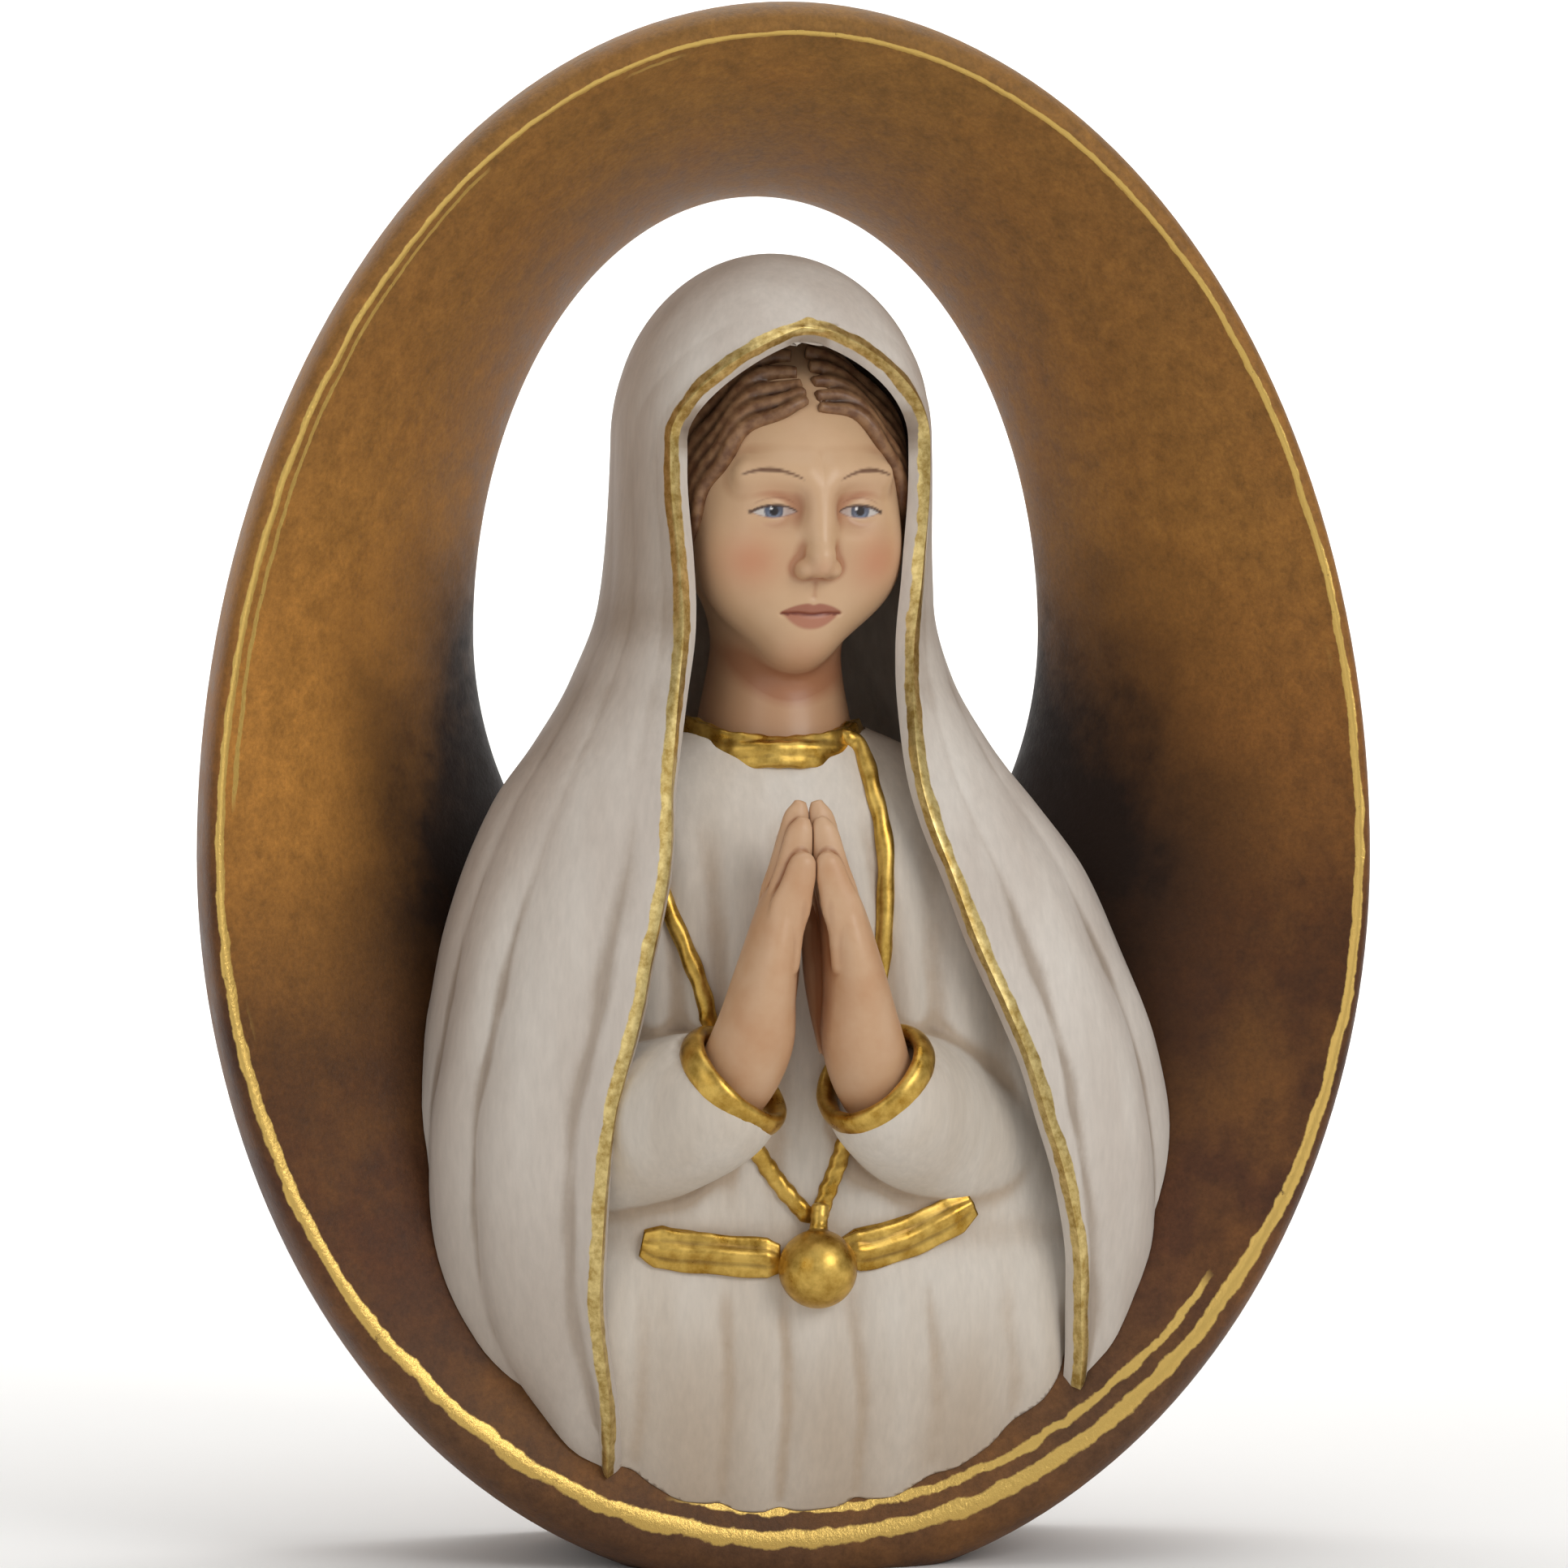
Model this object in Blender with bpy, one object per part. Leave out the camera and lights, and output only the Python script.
"""A praying Madonna bust in an oval niche, carved and painted wood, as its separate glued and pegged pieces.

Metres, +Z up, front towards -Y. The origin is the centre of the niche's flat foot.
"""

import math

import bpy
import numpy as np
from mathutils import Matrix, Vector

# Niche: an egg-shaped ring, each oval given as (half width, height above and below its widest line, that line's Z)
NICHE_HEIGHT = 0.150
NICHE_HALF_WIDTH = 0.0565
NICHE_WIDEST_Z = 0.068
NICHE_DEPTH = 0.034
FOOT_CUT = 0.003
RIM_BEVEL_SIDE = 0.0018
RIM_BEVEL_TOP = 0.0036
RIM_BEVEL_DEPTH = 0.008
RIM_TIP = 0.0009
REAR_ROUND = 0.0045
THROAT_HALF_WIDTH = 0.0285
THROAT_UP = 0.044
THROAT_DOWN = 0.0335
THROAT_Z = 0.0895
RING_SEGMENTS = 72

# Bust, in heights above the foot
AXIS_Y = -0.005
BUST_TURN = math.radians(4)
HEAD_TURN = math.radians(4)
HEAD_TURN_LOW = 0.075
HEAD_TURN_HIGH = 0.095
VEIL_TOP = 0.1262
VEIL_EQUATOR = 0.108
MANTLE_THICKNESS = 0.0026
FIT_GAP = 0.00035
# Mantle stations: (height, half width, front depth, back depth) from the axis, and how square its corners are
MANTLE = (
    (0.002, 0.0185, 0.0130, 0.0050, 2.35),
    (0.006, 0.0220, 0.0142, 0.0060, 2.35),
    (0.010, 0.0252, 0.0154, 0.0068, 2.35),
    (0.015, 0.0294, 0.0166, 0.0075, 2.35),
    (0.022, 0.0342, 0.0180, 0.0085, 2.4),
    (0.032, 0.0362, 0.0196, 0.0095, 2.55),
    (0.041, 0.0366, 0.0204, 0.0105, 2.7),
    (0.050, 0.0355, 0.0206, 0.0115, 2.65),
    (0.058, 0.0334, 0.0202, 0.0122, 2.5),
    (0.066, 0.0305, 0.0196, 0.0130, 2.4),
    (0.073, 0.0264, 0.0190, 0.0138, 2.35),
    (0.079, 0.0219, 0.0183, 0.0144, 2.35),
    (0.085, 0.0183, 0.0177, 0.0148, 2.35),
    (0.092, 0.0165, 0.0174, 0.0156, 2.35),
    (0.100, 0.0159, 0.0176, 0.0166, 2.35),
    (0.108, 0.0157, 0.0177, 0.0170, 2.3),
)
FOLD_DEPTH = 0.0007
FOLDS_ROUND = 17
# Front opening of the mantle: (height, half width), then the arch over the forehead
HEM = (
    (-0.010, 0.0215),
    (0.012, 0.0220),
    (0.026, 0.0226),
    (0.036, 0.0218),
    (0.045, 0.0204),
    (0.055, 0.0172),
    (0.064, 0.0143),
    (0.072, 0.0124),
    (0.080, 0.0114),
    (0.088, 0.0111),
    (0.096, 0.0119),
    (0.105, 0.0127),
)
ARCH_TOP = 0.1188
# Robe: front surface (height, Y), and the slope of its shoulders (height, half width)
ROBE_FRONT = (
    (0.002, -0.0162),
    (0.005, -0.0172),
    (0.009, -0.0184),
    (0.016, -0.0197),
    (0.026, -0.0203),
    (0.034, -0.0201),
    (0.048, -0.0206),
    (0.062, -0.0204),
    (0.071, -0.0191),
    (0.0785, -0.0163),
    (0.082, -0.0140),
)
PANEL_TOP = 0.0400
ROBE_SHOULDER = ((0.068, 0.0260), (0.073, 0.0222), (0.077, 0.0170), (0.080, 0.0108), (0.082, 0.0072))
# Head: face and skull ellipsoids, neck
FACE_CENTRE = (0.0, -0.0085, 0.1010)
FACE_HALF = (0.0104, 0.0125, 0.0146)
SKULL_CENTRE = (0.0, -0.0035, 0.1050)
SKULL_HALF = (0.0110, 0.0112, 0.0132)
HEAD_NOD = math.radians(7)
NECK_RADIUS = 0.0058
NECK_FOOT = 0.0760
NECK_Y = -0.0078
# Arms and hands, for the +X side
ELBOW = (0.0245, -0.0090, 0.0395)
FOREARM = (0.0165, -0.0160, 0.0415)
MOUTH = (0.0078, -0.0259, 0.0460)
MOUTH_AIM = (-0.62, -0.42, 0.66)
SLEEVE_RADII = (0.0084, 0.0084, 0.0066, 0.0056)
CUFF_LENGTH = 0.0024
CUFF_RADIUS = 0.0060
CUFF_BORE = 0.0047
HANDS_X = -0.0012
# The hand beyond its cuff: (X, Y, Z, half thickness, half depth)
HAND = (
    (0.0049, -0.0279, 0.0515, 0.0038, 0.0050),
    (0.0039, -0.0283, 0.0570, 0.0036, 0.0056),
    (0.0028, -0.0286, 0.0630, 0.0029, 0.0050),
    (0.0019, -0.0287, 0.0685, 0.0019, 0.0036),
    (0.0012, -0.0286, 0.0725, 0.0011, 0.0020),
)
# Gilded trim
BALL_RADIUS = 0.0039
BALL_HEIGHT = 0.0282
BALL_X = -0.0006
BELT_HALF_HEIGHT = 0.0016
BELT_HALF_DEPTH = 0.0009
# Belt line on the robe: (distance from the middle, height)
BELT = ((0.0030, 0.0303), (0.0055, 0.0303), (0.0090, 0.0308), (0.0135, 0.0317), (0.0172, 0.0328))
CORD_RADIUS = 0.0009
# Cord lines on the robe: (X, height)
CORDS = {
    "cord_upper_left": ((-0.0148, 0.0672), (-0.0128, 0.0625), (-0.0112, 0.0583), (-0.0102, 0.0550), (-0.0096, 0.0520)),
    "cord_upper_right": ((0.0072, 0.0745), (0.0079, 0.0705), (0.0086, 0.0660), (0.0084, 0.0600), (0.0081, 0.0545)),
    "cord_lower_left": ((-0.0060, 0.0412), (-0.0043, 0.0388), (-0.0027, 0.0362), (-0.0014, 0.0338)),
    "cord_lower_right": ((0.0040, 0.0418), (0.0031, 0.0390), (0.0021, 0.0362), (0.0012, 0.0338)),
}
COLLAR_RADIUS = 0.0083
COLLAR_FRONT_HEIGHT = 0.0773
COLLAR_RISE = 0.0028
COLLAR_HALF_HEIGHT = 0.0015
COLLAR_HALF_DEPTH = 0.0009
HAIR_RADIUS = 0.0017
# Pegs
DOWEL_RADIUS = 0.0020
DOWEL_LENGTH = 0.0150
DOWEL_SPACING = 0.0200
DOWEL_HEIGHT = 0.0270
DOWEL_BITE = 0.0075
NECK_PEG_RADIUS = 0.0020
NECK_PEG_LENGTH = 0.0160
PEG_GAP = 0.0003

COLOURS = {
    "gilded_brown_wood": ((0.30, 0.15, 0.06), 0.45, 0.25),
    "painted_white": ((0.66, 0.61, 0.57), 0.55, 0.0),
    "painted_skin": ((0.72, 0.47, 0.31), 0.5, 0.0),
    "painted_hair": ((0.20, 0.10, 0.05), 0.6, 0.0),
    "gold_leaf": ((0.62, 0.43, 0.15), 0.35, 0.9),
    "beech_peg": ((0.60, 0.42, 0.25), 0.7, 0.0),
}


def clear_scene():
    for obj in list(bpy.data.objects):
        bpy.data.objects.remove(obj)


def material(name):
    found = bpy.data.materials.get(name)
    if found:
        return found
    colour, roughness, metallic = COLOURS[name]
    made = bpy.data.materials.new(name)
    made.use_nodes = True
    shader = made.node_tree.nodes["Principled BSDF"]
    shader.inputs["Base Color"].default_value = (*colour, 1)
    shader.inputs["Roughness"].default_value = roughness
    shader.inputs["Metallic"].default_value = metallic
    return made


def add_mesh(name, points, faces, finish=None):
    """One object from points and faces, its faces turned outwards. With no finish it is a cutter."""
    mesh = bpy.data.meshes.new(name)
    mesh.from_pydata([tuple(p) for p in points], [], faces)
    mesh.validate()
    obj = bpy.data.objects.new(name, mesh)
    bpy.context.scene.collection.objects.link(obj)
    if finish:
        mesh.materials.append(material(finish))
        mesh.shade_smooth()
        mesh.set_sharp_from_angle(angle=math.radians(40))
    else:
        obj.hide_render = True
        obj.display_type = "WIRE"
    return obj


def boolean(obj, other, operation="DIFFERENCE"):
    modifier = obj.modifiers.new(f"{operation.lower()}_{other.name}", "BOOLEAN")
    modifier.operation = operation
    modifier.object = other
    modifier.solver = "EXACT"


def grown(obj, gap=FIT_GAP):
    """A cutter that is obj's own base shape, larger by the gap all round."""
    name = obj.name + "_clearance"
    if name in bpy.data.objects:
        return bpy.data.objects[name]
    faces = [tuple(f.vertices) for f in obj.data.polygons]
    cutter = add_mesh(name, [v.co for v in obj.data.vertices], faces)
    swell = cutter.modifiers.new("gap", "DISPLACE")
    swell.strength = gap
    swell.mid_level = 0
    return cutter


def glide(value, stations, column=1):
    """A smooth monotone curve through (position, value, ...) stations."""
    at = [s[0] for s in stations]
    out = [s[column] for s in stations]
    value = min(max(value, at[0]), at[-1])
    i = min(max(int(np.searchsorted(at, value)) - 1, 0), len(at) - 2)
    slopes = [(out[k + 1] - out[k]) / (at[k + 1] - at[k]) for k in range(len(at) - 1)]

    def tangent(k):
        if k == 0 or k == len(at) - 1:
            return slopes[min(k, len(slopes) - 1)]
        before, after = slopes[k - 1], slopes[k]
        return 0 if before * after <= 0 else 2 * before * after / (before + after)

    step = at[i + 1] - at[i]
    t = (value - at[i]) / step
    return (
        out[i] * (1 + 2 * t) * (1 - t) ** 2
        + out[i + 1] * t * t * (3 - 2 * t)
        + step * t * (1 - t) * (tangent(i) * (1 - t) - tangent(i + 1) * t)
    )


def turned(point):
    """The bust's turn about its own upright axis, with the head's further turn."""
    x, y, z = point
    t = min(max((z - HEAD_TURN_LOW) / (HEAD_TURN_HIGH - HEAD_TURN_LOW), 0), 1)
    angle = BUST_TURN + HEAD_TURN * t * t * (3 - 2 * t)
    c, s = math.cos(angle), math.sin(angle)
    return Vector((x * c - (y - AXIS_Y) * s, AXIS_Y + x * s + (y - AXIS_Y) * c, z))


def loft(name, rings, finish=None, capped=True):
    """A closed solid through rings of equal length, each ordered counter-clockwise seen from the last one's side."""
    count = len(rings[0])
    points = [p for ring in rings for p in ring]
    faces = [
        (r * count + k, r * count + (k + 1) % count, (r + 1) * count + (k + 1) % count, (r + 1) * count + k)
        for r in range(len(rings) - 1)
        for k in range(count)
    ]
    if capped:
        faces.append(tuple(reversed(range(count))))
        faces.append(tuple(range((len(rings) - 1) * count, len(rings) * count)))
    return add_mesh(name, points, faces, finish)


def sweep(name, path, half_sizes, finish=None, sides=10, wide=Vector((0, 0, 1))):
    """A tube along path; half_sizes gives (across, along wide) for each point."""
    rings = []
    for i, point in enumerate(path):
        ahead = (path[min(i + 1, len(path) - 1)] - path[max(i - 1, 0)]).normalized()
        across = ahead.cross(wide).normalized()
        up = across.cross(ahead)
        thick, tall = half_sizes[i]
        rings.append(
            [
                point
                + across * thick * math.cos(2 * math.pi * k / sides)
                + up * tall * math.sin(2 * math.pi * k / sides)
                for k in range(sides)
            ]
        )
    obj = loft(name, rings, finish)
    if sum(f.normal.dot(f.center - path[len(path) // 2]) * f.area for f in obj.data.polygons) < 0:
        obj.data.flip_normals()
    return obj


def peg(name, start, along, length, radius, finish=None):
    """A round peg from start along a direction."""
    wide = Vector((1, 0, 0)) if abs(along.x) < 0.5 else Vector((0, 0, 1))
    path = [start, start + along * length]
    return sweep(name, path, [(radius, radius)] * 2, finish, sides=16, wide=wide)


# Niche


def oval(half_width, up, down, widest, angle):
    """A point (x, z) on an egg, from its top at angle 0, towards +X."""
    rise = up if math.cos(angle) > 0 else down
    return half_width * math.sin(angle), widest + rise * math.cos(angle)


def niche_ovals():
    """The ring's ovals by name, each (half width, up, down, widest line)."""
    up = NICHE_HEIGHT - NICHE_WIDEST_Z
    down = NICHE_WIDEST_Z + FOOT_CUT
    half = NICHE_HALF_WIDTH
    crest_down = NICHE_WIDEST_Z - FOOT_CUT
    return {
        "crest": (half - RIM_BEVEL_SIDE, up - RIM_BEVEL_TOP, crest_down, NICHE_WIDEST_Z),
        "widest": (half, up, down, NICHE_WIDEST_Z),
        "rear": (half - 0.4 * REAR_ROUND, up - 0.4 * REAR_ROUND, down - 0.3 * REAR_ROUND, NICHE_WIDEST_Z),
        "back": (half - REAR_ROUND, up - REAR_ROUND, down - REAR_ROUND, NICHE_WIDEST_Z),
        "throat": (THROAT_HALF_WIDTH, THROAT_UP, THROAT_DOWN, THROAT_Z),
        "throat_back": (THROAT_HALF_WIDTH + 0.5 * REAR_ROUND, THROAT_UP + 0.5 * REAR_ROUND, THROAT_DOWN + 0.5 * REAR_ROUND, THROAT_Z),
    }


FRONT_Y = -NICHE_DEPTH / 2
BACK_Y = NICHE_DEPTH / 2
THROAT_Y = BACK_Y - 0.9 * REAR_ROUND
# Inner wall as a cubic curve from throat to crest: share of the way out, share of the way forward
WALL_CURVE = ((0.0, 0.0), (0.02, 0.30), (0.50, 0.74), (1.0, 1.0))
WALL_STEPS = 10


def wall_at(t):
    """(share outwards, Y) on the inner wall, from the throat at 0 to the crest at 1."""
    blend = ((1 - t) ** 3, 3 * t * (1 - t) ** 2, 3 * t * t * (1 - t), t**3)
    out = sum(b * p[0] for b, p in zip(blend, WALL_CURVE))
    forward = sum(b * p[1] for b, p in zip(blend, WALL_CURVE))
    return out, THROAT_Y + (FRONT_Y - THROAT_Y) * forward


def niche_section(angle):
    """The ring's closed outline at one angle, from the throat forward and round the outside."""
    at = {name: oval(*sizes, angle) for name, sizes in niche_ovals().items()}

    def between(a, b, share, y):
        return (
            at[a][0] + (at[b][0] - at[a][0]) * share,
            y,
            at[a][1] + (at[b][1] - at[a][1]) * share,
        )

    section = []
    for step in range(WALL_STEPS):
        out, y = wall_at(step / WALL_STEPS)
        section.append(between("throat", "crest", out, y))
    section.append(between("crest", "widest", 0.0, FRONT_Y + 0.3 * RIM_TIP))
    section.append(between("crest", "widest", 0.2, FRONT_Y))
    section.append(between("crest", "widest", 0.62, FRONT_Y + 0.2 * RIM_BEVEL_DEPTH))
    section.append(between("crest", "widest", 0.9, FRONT_Y + 0.55 * RIM_BEVEL_DEPTH))
    section.append(between("crest", "widest", 1.0, FRONT_Y + RIM_BEVEL_DEPTH))
    section.append(between("widest", "rear", 0.35, 0.5 * (FRONT_Y + RIM_BEVEL_DEPTH + THROAT_Y)))
    section.append(between("widest", "rear", 1.0, THROAT_Y))
    section.append(between("rear", "back", 0.45, BACK_Y - 0.28 * REAR_ROUND))
    section.append(between("rear", "back", 1.0, BACK_Y))
    section.append(between("throat_back", "throat", 0.0, BACK_Y))
    section.append(between("throat_back", "throat", 0.7, BACK_Y - 0.35 * REAR_ROUND))
    return section


def niche_mesh(name, finish=None):
    rings = [niche_section(2 * math.pi * k / RING_SEGMENTS) for k in range(RING_SEGMENTS)]
    count = len(rings[0])
    faces = []
    for r in range(RING_SEGMENTS):
        other = (r + 1) % RING_SEGMENTS
        for k in range(count):
            faces.append((r * count + k, r * count + (k + 1) % count, other * count + (k + 1) % count, other * count + k))
    return add_mesh(name, [p for ring in rings for p in ring], faces, finish)


def wall_y(x, z):
    """Y of the niche's inner wall behind the point (x, z)."""
    sizes = niche_ovals()
    best = (1e9, FRONT_Y)
    for k in range(0, 360, 3):
        throat = oval(*sizes["throat"], math.radians(k))
        crest = oval(*sizes["crest"], math.radians(k))
        for step in range(2 * WALL_STEPS + 1):
            out, y = wall_at(step / (2 * WALL_STEPS))
            px = throat[0] + (crest[0] - throat[0]) * out
            pz = throat[1] + (crest[1] - throat[1]) * out
            best = min(best, ((px - x) ** 2 + (pz - z) ** 2, y))
    return best[1]


def box(name, low, high):
    corners = [(x, y, z) for z in (low[2], high[2]) for y in (low[1], high[1]) for x in (low[0], high[0])]
    faces = [(0, 2, 3, 1), (4, 5, 7, 6), (0, 1, 5, 4), (2, 6, 7, 3), (0, 4, 6, 2), (1, 3, 7, 5)]
    return add_mesh(name, corners, faces)


# Bust


def fold_wave(angle, height):
    """Soft upright folds round the cloak, from -1 to 1, fading out over the head."""
    strength = min(max((0.095 - height) / 0.030, 0.12), 1)
    drift = 9.0 * height / VEIL_TOP
    return strength * (0.7 * math.cos(FOLDS_ROUND * angle + drift) + 0.3 * math.cos(1.7 * FOLDS_ROUND * angle - drift))


def mantle_ring(height, inset, sides, folds=True):
    """The cloak's outline at one height, moved inwards by inset, from the front towards +X."""
    sizes = [glide(height, MANTLE, column) - inset for column in (1, 2, 3)]
    if height > VEIL_EQUATOR:
        rise = (height - VEIL_EQUATOR) / (VEIL_TOP - inset - VEIL_EQUATOR)
        sizes = [s * math.sqrt(max(1 - rise * rise, 0.0)) for s in sizes]
    half_width, front, back = sizes
    power = 2 / glide(height, MANTLE, 4)
    ring = []
    for k in range(sides):
        angle = 2 * math.pi * k / sides
        sine, cosine = math.sin(angle), math.cos(angle)
        x = half_width * math.copysign(abs(sine) ** power, sine)
        y = (front if cosine > 0 else back) * math.copysign(abs(cosine) ** power, cosine)
        if folds:
            swell = 1 + FOLD_DEPTH * fold_wave(angle, height) / max(math.hypot(x, y), 0.004)
            x, y = x * swell, y * swell
        ring.append(turned((x, AXIS_Y - y, height)))
    return ring


def mantle_heights(top_share, lowest, count):
    """Even heights up the body, closer over the dome."""
    body = list(np.linspace(lowest, VEIL_EQUATOR, count))
    dome = [VEIL_EQUATOR + top_share * math.sin(math.radians(a)) for a in (15, 30, 45, 58, 70, 80, 86)]
    return body + dome


def mantle_loft(name, inset, sides, lowest, count, finish=None, folds=True):
    heights = mantle_heights(VEIL_TOP - inset - VEIL_EQUATOR, lowest, count)
    return loft(name, [mantle_ring(h, inset, sides, folds) for h in heights], finish)


def hem_half_width(height):
    """Half width of the front opening, closing in an arch above the forehead."""
    spring = HEM[-1][0]
    if height <= spring:
        return glide(height, HEM)
    rise = min((height - spring) / (ARCH_TOP - spring), 1)
    return HEM[-1][1] * (1 - rise**1.8) ** 0.8


def front_opening(name, inset=0.0):
    """The cutter that opens the mantle's front: its outline, moved in by inset, pushed forward from the axis."""
    rise = [1 - (1 - k / 10) ** 2 for k in range(1, 10)]
    heights = [s[0] for s in HEM] + [HEM[-1][0] + (ARCH_TOP - HEM[-1][0]) * r for r in rise]
    outline = [(inset - hem_half_width(h), h) for h in heights] + [(0.0, ARCH_TOP)]
    outline += [(hem_half_width(h) - inset, h) for h in reversed(heights)]
    rings = [[turned((x, y, z)) for x, z in outline] for y in (-0.060, AXIS_Y - 0.0055)]
    return loft(name, rings)


def robe_half_width(height):
    inner = glide(height, MANTLE, 1) - MANTLE_THICKNESS - FOLD_DEPTH - FIT_GAP
    return inner if height < ROBE_SHOULDER[0][0] else min(inner, glide(height, ROBE_SHOULDER))


def robe_front_y(x, height):
    """Y of the robe's front surface in the bust's own frame."""
    depth = AXIS_Y - glide(height, ROBE_FRONT)
    share = min(abs(x) / robe_half_width(height), 0.999)
    return AXIS_Y - depth * (1 - share**2.35) ** (1 / 2.35)


def robe_ring(height, sides):
    half_width = robe_half_width(height)
    inside = glide(height, MANTLE, 2) - MANTLE_THICKNESS - 2 * FIT_GAP
    front = min(AXIS_Y - glide(height, ROBE_FRONT), inside)
    back = glide(height, MANTLE, 3) - MANTLE_THICKNESS - FOLD_DEPTH - FIT_GAP
    back *= min(half_width / 0.020, 1)
    power = 2 / 2.35
    ring = []
    for k in range(sides):
        angle = 2 * math.pi * k / sides
        sine, cosine = math.sin(angle), math.cos(angle)
        x = half_width * math.copysign(abs(sine) ** power, sine)
        y = (front if cosine > 0 else back) * math.copysign(abs(cosine) ** power, cosine)
        ring.append(turned((x, AXIS_Y - y, height)))
    return ring


def skirt_panel(name):
    """The front of the robe below the arms, which fills the mantle's opening to its edges."""
    rings = []
    for height in np.linspace(ROBE_FRONT[0][0], PANEL_TOP, 12):
        fade = min((PANEL_TOP - height) / 0.012, 1)
        half_width = robe_half_width(height) - 0.0006 + MANTLE_THICKNESS * fade
        depth = AXIS_Y - glide(height, ROBE_FRONT) - 0.0007 + 0.0011 * fade
        ring = []
        for k in range(40):
            angle = 2 * math.pi * k / 40
            sine, cosine = math.sin(angle), math.cos(angle)
            x = half_width * math.copysign(abs(sine) ** (2 / 2.35), sine)
            y = (depth if cosine > 0 else 0.003) * math.copysign(abs(cosine) ** (2 / 2.35), cosine)
            ring.append(turned((x, AXIS_Y - y, height)))
        rings.append(ring)
    return loft(name, rings)


def ball_mesh(name, centre, radii, rings, sides, finish=None, nod=0.0, flat_back=None):
    """An ellipsoid as stacked rings between two small caps, tipped forward by nod about its centre."""
    tip = Matrix.Rotation(nod, 3, "X")
    stack = []
    for r in range(rings + 1):
        polar = math.pi * (0.04 + 0.92 * r / rings)
        ring = []
        for k in range(sides):
            angle = 2 * math.pi * k / sides
            offset = Vector(
                (
                    radii[0] * math.sin(polar) * math.sin(angle),
                    -radii[1] * math.sin(polar) * math.cos(angle),
                    -radii[2] * math.cos(polar),
                )
            )
            if flat_back is not None:
                offset.y = min(offset.y, flat_back)
            ring.append(turned(Vector(centre) + tip @ offset))
        stack.append(ring)
    return loft(name, stack, finish)


def on_robe(x, height, lift):
    """A point in front of the robe's surface, in the world."""
    return turned((x, robe_front_y(x, height) - lift, height))


def on_face(side, degrees, lift):
    """A point over the forehead, at an angle from the parting down one side."""
    angle = math.radians(degrees)
    x = (FACE_HALF[0] + lift) * math.sin(angle)
    z = (FACE_HALF[2] + lift) * math.cos(angle)
    y = -0.0075 - 0.0016 * math.cos(angle)
    local = Vector((side * x, y, z))
    return turned(Vector(FACE_CENTRE) + Matrix.Rotation(HEAD_NOD, 3, "X") @ local)


def place_arm(obj, side):
    """Moves a piece made for the +X arm to its own side and turns it with the bust."""
    for vertex in obj.data.vertices:
        x, y, z = vertex.co
        vertex.co = turned((side * x + HANDS_X, y, z))
    return outward(obj)


def past_mouth(distance):
    """A point on the wrist's line, measured from the sleeve's mouth."""
    return Vector(MOUTH) + Vector(MOUTH_AIM).normalized() * distance


def sleeve_mesh(side, name):
    path = [Vector(ELBOW), Vector(FOREARM), past_mouth(-0.004), past_mouth(0)]
    sizes = [(r, r) for r in SLEEVE_RADII]
    return place_arm(sweep(name, path, sizes, sides=18, wide=Vector((0, 1, 0.3))), side)


def cuff_mesh(side, name, finish):
    """A short rolled band: a ring turned about the wrist's line."""
    ahead = Vector(MOUTH_AIM).normalized()
    across = ahead.cross(Vector((0, 1, 0.3))).normalized()
    up = across.cross(ahead)
    low, high = FIT_GAP, FIT_GAP + CUFF_LENGTH
    soft = 0.0005
    section = (
        (CUFF_BORE, low),
        (CUFF_RADIUS - soft, low),
        (CUFF_RADIUS, low + soft),
        (CUFF_RADIUS, high - soft),
        (CUFF_RADIUS - soft, high),
        (CUFF_BORE, high),
    )
    points, faces, turns, count = [], [], 22, len(section)
    for k in range(turns):
        angle = 2 * math.pi * k / turns
        arm = across * math.cos(angle) + up * math.sin(angle)
        points += [past_mouth(distance) + arm * radius for radius, distance in section]
        after = (k + 1) % turns
        for n in range(count):
            near, far = n, (n + 1) % count
            faces.append((k * count + near, after * count + near, after * count + far, k * count + far))
    return place_arm(add_mesh(name, points, faces, finish), side)


def hand_mesh(side, name, finish):
    """One hand, its flat palm towards the middle, from the wrist inside the sleeve to the fingertips."""
    path = [past_mouth(-0.0035), past_mouth(0), past_mouth(0.0027)] + [Vector(s[:3]) for s in HAND]
    sizes = [(0.0036, 0.0038), (0.0040, 0.0041), (0.0041, 0.0043)] + [s[3:] for s in HAND]
    hand = sweep(name, path, sizes, finish, sides=14, wide=Vector((0, 1, 0)))
    for vertex in hand.data.vertices:
        vertex.co.x = max(vertex.co.x, 0.6 * FIT_GAP)
    return place_arm(hand, side)


def outward(obj):
    """Turns the mesh's faces outwards if its volume comes out negative."""
    volume = 0.0
    for face in obj.data.polygons:
        corners = [obj.data.vertices[i].co for i in face.vertices]
        for b, c in zip(corners[1:], corners[2:]):
            volume += corners[0].dot(b.cross(c))
    if volume < 0:
        obj.data.flip_normals()
    return obj


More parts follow.
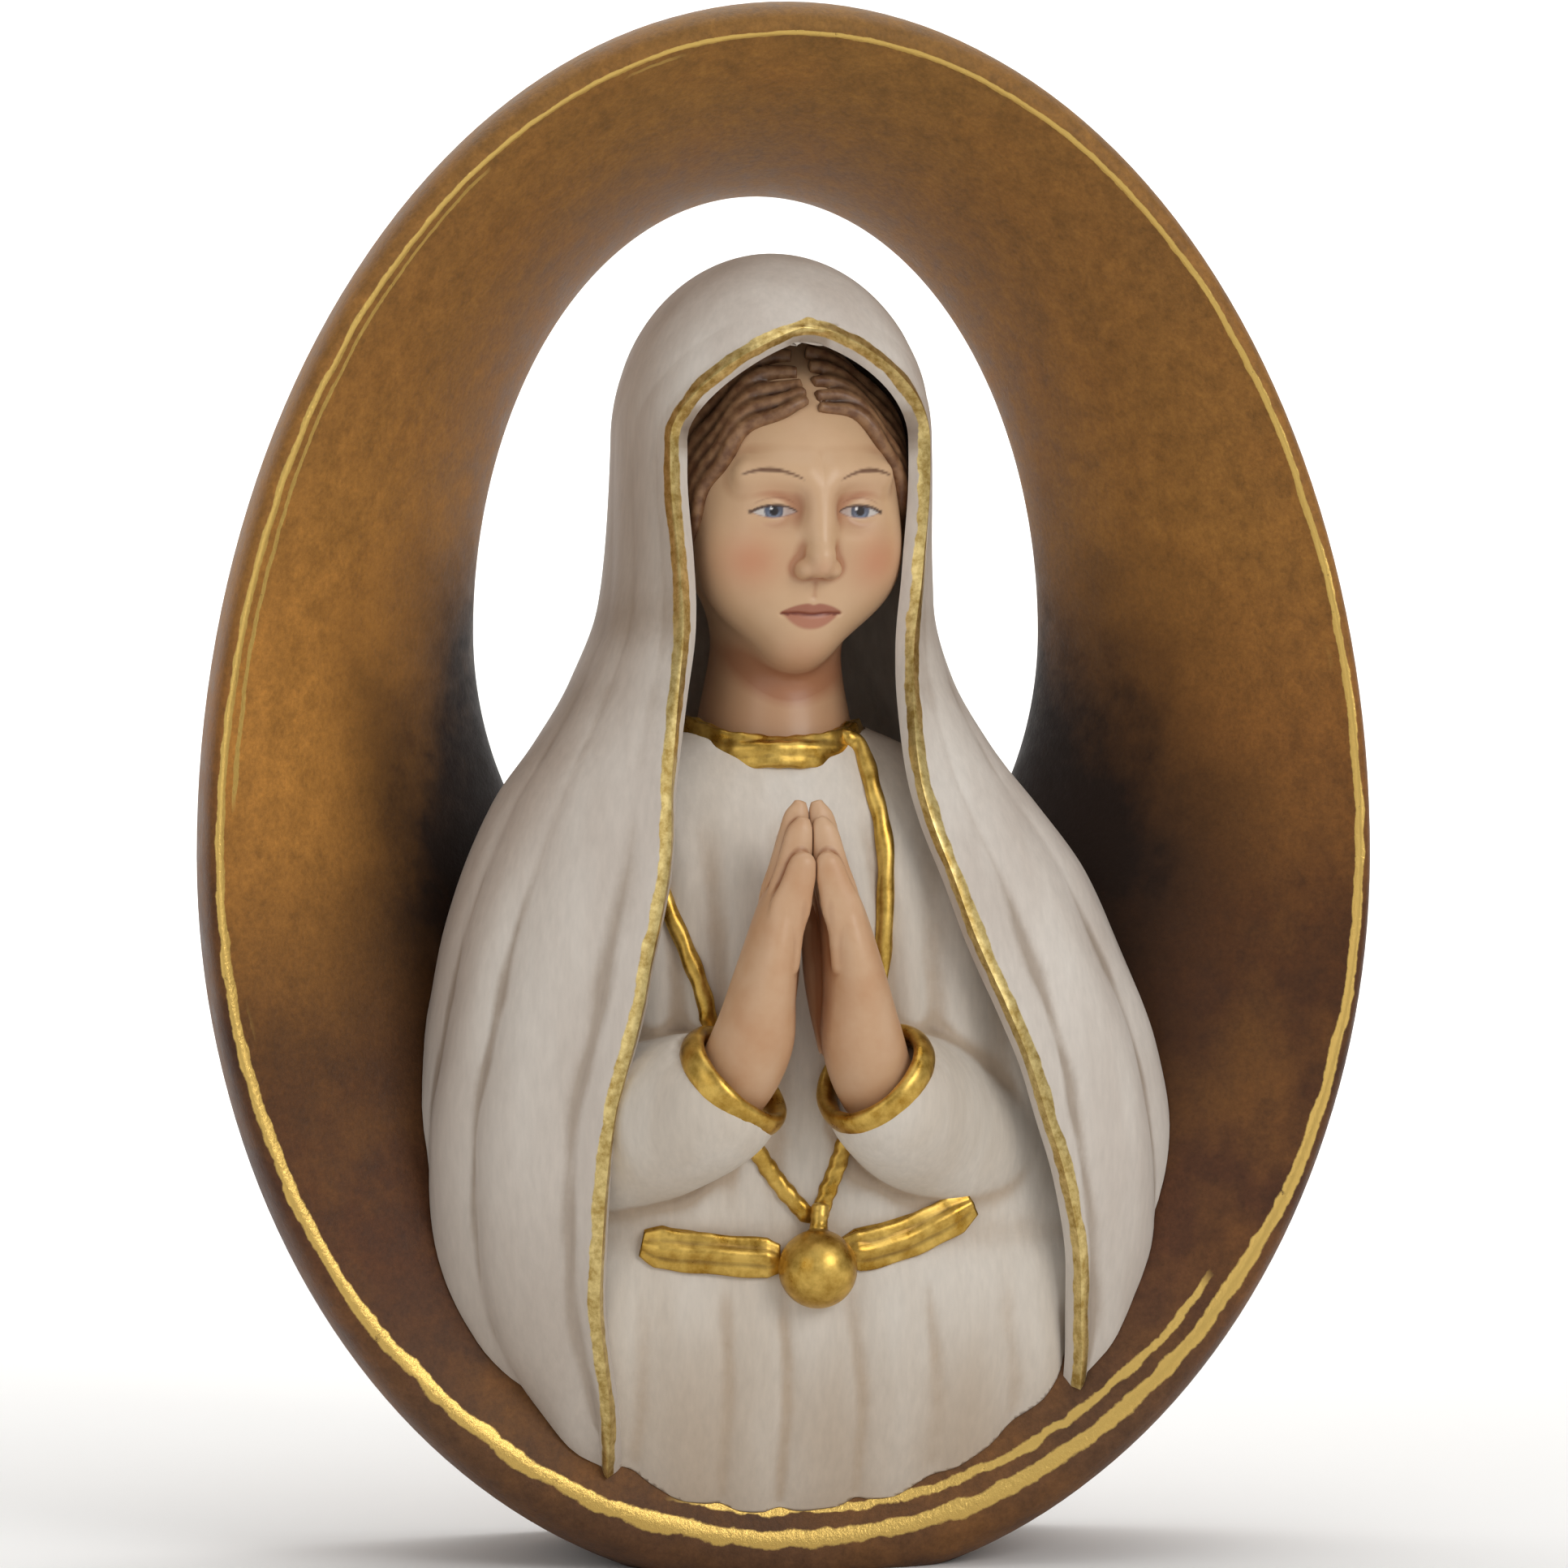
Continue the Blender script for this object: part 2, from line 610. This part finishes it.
def main():
    clear_scene()

    niche = outward(niche_mesh("oval_niche", "gilded_brown_wood"))
    niche_clearance = grown(niche)
    boolean(niche, outward(box("foot_cut", (-0.1, -0.1, -0.05), (0.1, 0.1, 0.0))))

    head = outward(ball_mesh("head", FACE_CENTRE, FACE_HALF, 16, 28, "painted_skin", HEAD_NOD))
    skull = outward(ball_mesh("skull", SKULL_CENTRE, SKULL_HALF, 12, 24))
    neck = outward(
        peg("neck", turned((0, NECK_Y, NECK_FOOT)), Vector((0, 0, 1)), FACE_CENTRE[2] - NECK_FOOT, NECK_RADIUS)
    )
    boolean(head, skull, "UNION")
    boolean(head, neck, "UNION")

    hands, cuffs, sleeves = [], [], []
    for side, label in ((-1, "left"), (1, "right")):
        hands.append(hand_mesh(side, f"hand_{label}", "painted_skin"))
        cuffs.append(cuff_mesh(side, f"cuff_{label}", "gold_leaf"))
        sleeves.append(sleeve_mesh(side, f"sleeve_{label}"))
        boolean(cuffs[-1], grown(hands[-1]))

    heights = list(np.linspace(ROBE_FRONT[0][0], 0.068, 16)) + [s[0] for s in ROBE_SHOULDER[1:]]
    robe = outward(loft("robe", [robe_ring(h, 40) for h in heights], "painted_white"))
    panel = outward(skirt_panel("skirt_panel"))
    boolean(panel, outward(front_opening("skirt_side_cut", FIT_GAP)), "INTERSECT")
    for piece in sleeves + [panel]:
        boolean(robe, piece, "UNION")
    for piece in hands + cuffs + [head, neck, skull]:
        boolean(robe, grown(piece))
    boolean(robe, niche_clearance)

    mantle = outward(mantle_loft("mantle", 0.0, 64, MANTLE[0][0], 20, "painted_white"))
    cavity = outward(mantle_loft("mantle_cavity", MANTLE_THICKNESS, 40, MANTLE[0][0] - 0.005, 18, folds=False))
    boolean(mantle, cavity)
    boolean(mantle, outward(front_opening("front_opening")))
    for piece in sleeves + cuffs + [head, skull]:
        boolean(mantle, grown(piece))
    boolean(mantle, niche_clearance)

    hair = []
    for side, label in ((-1, "left"), (1, "right")):
        path = [on_face(side, degrees, HAIR_RADIUS + FIT_GAP) for degrees in (7, 20, 35, 50, 65, 80, 95)]
        sizes = [(HAIR_RADIUS * s, HAIR_RADIUS * s) for s in (0.8, 1, 1, 1, 1, 0.9, 0.6)]
        lock = outward(sweep(f"hair_{label}", path, sizes, "painted_hair", sides=10, wide=Vector((0, 1, 0))))
        boolean(lock, grown(head))
        boolean(lock, grown(skull))
        hair.append(lock)
        boolean(mantle, grown(lock))

    for obj in (niche, robe):
        for side in (-1, 1):
            hole = dowel_at(side, f"{obj.name}_dowel_hole_{side}", None)
            boolean(obj, hole)
    for side, label in ((-1, "left"), (1, "right")):
        dowel_at(side, f"niche_dowel_{label}", "beech_peg")
    neck_peg("neck_peg", "beech_peg")
    neck_hole = neck_peg("neck_peg_hole", None)
    boolean(head, neck_hole)
    boolean(robe, neck_hole)

    trims(head, neck, [robe, panel], sleeves)


def dowel_at(side, name, finish):
    """A peg across the joint between the robe's back and the niche's wall; with no finish, its hole."""
    x = side * DOWEL_SPACING / 2
    gap = 0 if finish else PEG_GAP
    start = Vector((x, wall_y(x, DOWEL_HEIGHT) - (DOWEL_LENGTH - DOWEL_BITE) - gap, DOWEL_HEIGHT))
    return outward(peg(name, start, Vector((0, 1, 0)), DOWEL_LENGTH + 2 * gap, DOWEL_RADIUS + gap, finish))


def neck_peg(name, finish):
    gap = 0 if finish else PEG_GAP
    start = turned((0, NECK_Y, NECK_FOOT - NECK_PEG_LENGTH / 2 - gap))
    return outward(peg(name, start, Vector((0, 0, 1)), NECK_PEG_LENGTH + 2 * gap, NECK_PEG_RADIUS + gap, finish))


def trims(head, neck, robes, sleeves):
    """The raised gilded trim that lies on the robe: collar, cords, belt and pendant ball."""
    centre = (BALL_X, robe_front_y(0, BALL_HEIGHT) - 0.55 * BALL_RADIUS, BALL_HEIGHT)
    ball = outward(ball_mesh("pendant_ball", centre, (BALL_RADIUS,) * 3, 12, 20, "gold_leaf"))
    for other in robes:
        boolean(ball, grown(other))

    belt_rises = {"left": 0.0, "right": 0.0014}
    for arm, (label, rise) in zip(sleeves, belt_rises.items()):
        side = -1 if label == "left" else 1
        path = [
            on_robe(side * x, height + rise * x / BELT[-1][0], 0.5 * BELT_HALF_DEPTH)
            for x, height in BELT
        ]
        sizes = [(BELT_HALF_DEPTH, BELT_HALF_HEIGHT * s) for s in (0.8, 1, 1, 1, 0.6)]
        belt = outward(sweep(f"belt_{label}", path, sizes, "gold_leaf", sides=8))
        for other in robes + [ball, arm]:
            boolean(belt, grown(other))

    for label, line in CORDS.items():
        path = [on_robe(x, height, 0.6 * CORD_RADIUS) for x, height in line]
        sizes = [(CORD_RADIUS, CORD_RADIUS * 1.2)] * len(path)
        cord = outward(sweep(label, path, sizes, "gold_leaf", sides=8, wide=Vector((1, 0, 0.2))))
        for other in robes + [ball] + sleeves:
            boolean(cord, grown(other))

    collar_path = []
    for degrees in range(-75, 76, 15):
        angle = math.radians(degrees)
        height = COLLAR_FRONT_HEIGHT + COLLAR_RISE * (1 - math.cos(angle))
        x = COLLAR_RADIUS * math.sin(angle)
        y = min(NECK_Y - COLLAR_RADIUS * math.cos(angle), robe_front_y(x, height))
        collar_path.append(turned((x, y, height)))
    sizes = [(COLLAR_HALF_DEPTH, COLLAR_HALF_HEIGHT * s) for s in [0.6] + [1] * (len(collar_path) - 2) + [0.6]]
    collar = outward(sweep("collar", collar_path, sizes, "gold_leaf", sides=8))
    for other in (head, neck, robes[0]):
        boolean(collar, grown(other))


main()
